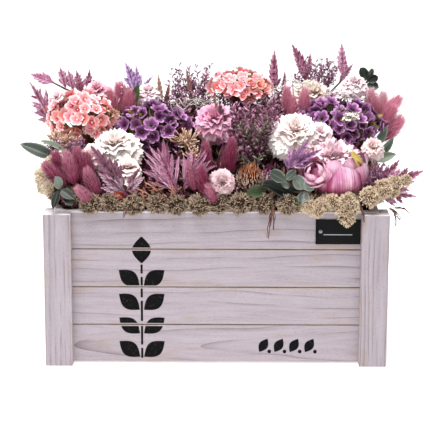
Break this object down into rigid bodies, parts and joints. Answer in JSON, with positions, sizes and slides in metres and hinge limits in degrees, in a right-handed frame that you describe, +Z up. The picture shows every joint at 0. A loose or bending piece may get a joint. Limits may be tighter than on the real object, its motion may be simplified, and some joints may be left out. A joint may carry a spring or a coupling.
{
  "type": "flower arrangement in wooden box",
  "caption": "Dried and fresh-look flower arrangement set in foam inside a whitewashed plank box, with a ruff of reindeer moss and a blank card nailed to the front.",
  "frame": {"origin": "middle of the base board's underside, which lies on the table", "axes": "+X to the right of the box seen from the front, along its length; the front with the card faces -Y; +Z up"},
  "size_m": [0.472, 0.2476, 0.355],
  "materials": {
    "whitewash": "whitewashed sawn wood, matt",
    "card_black": "matt black card",
    "nail_steel": "satin",
    "foam_green": "matt floral foam",
    "petal_white": "matt petal",
    "petal_pink": "matt petal",
    "petal_cream": "matt petal",
    "petal_blush": "matt petal",
    "peony_pink": "soft satin petal",
    "floret_coral": "soft satin petal",
    "floret_purple": "soft satin petal",
    "scabiosa_pale": "matt petal",
    "banksia_rust": "matt bristle",
    "tail_rose": "downy grass head",
    "leaf_mauve": "matt dried leaf",
    "leaf_lilac": "matt dried leaf",
    "heather_mauve": "matt dried twig",
    "statice_plum": "matt dried flower",
    "eucalyptus_grey": "waxy leaf",
    "moss_cream": "dry lichen"
  },
  "bodies": {
    "root": {"post_left_front": "whitewash", "post_right_front": "whitewash", "post_left_back": "whitewash", "post_right_back": "whitewash", "plank_front_1": "whitewash", "plank_front_2": "whitewash", "plank_front_3": "whitewash", "plank_front_4": "whitewash", "plank_back_1": "whitewash", "plank_back_2": "whitewash", "plank_back_3": "whitewash", "plank_back_4": "whitewash", "plank_left_1": "whitewash", "plank_left_2": "whitewash", "plank_left_3": "whitewash", "plank_left_4": "whitewash", "plank_right_1": "whitewash", "plank_right_2": "whitewash", "plank_right_3": "whitewash", "plank_right_4": "whitewash", "base_board": "whitewash", "tag": "card_black", "nail": "nail_steel", "foam": "foam_green", "carnation_white_left": "petal_white", "carnation_white_right": "petal_white", "carnation_white_rear": "petal_white", "carnation_pink_mid": "petal_pink", "carnation_pink_rear": "petal_pink", "carnation_cream_back_right": "petal_cream", "carnation_small": "petal_blush", "carnation_blush_back_left": "petal_blush", "carnation_pink_back_right": "petal_blush", "peony": "peony_pink", "cluster_pink_left": "floret_coral", "cluster_pink_back": "floret_coral", "cluster_purple_left": "floret_purple", "cluster_purple_right": "floret_purple", "scabiosa": "scabiosa_pale", "banksia": "banksia_rust", "tails_left": "tail_rose", "tails_back_left": "tail_rose", "tails_centre": "tail_rose", "tails_right": "tail_rose", "leaf_left": "leaf_mauve", "leaf_front_left": "leaf_mauve", "leaf_front_centre": "leaf_mauve", "leaf_back_right": "leaf_mauve", "leaf_right": "leaf_mauve", "leaf_lilac_back": "leaf_lilac", "heather_centre": "heather_mauve", "statice_back_left": "statice_plum", "statice_back_right": "statice_plum", "eucalyptus_left": "eucalyptus_grey", "eucalyptus_front": "eucalyptus_grey", "eucalyptus_back_right": "eucalyptus_grey", "moss_front": "moss_cream", "moss_back": "moss_cream", "moss_left": "moss_cream", "moss_right": "moss_cream"}
  },
  "joints": []
}
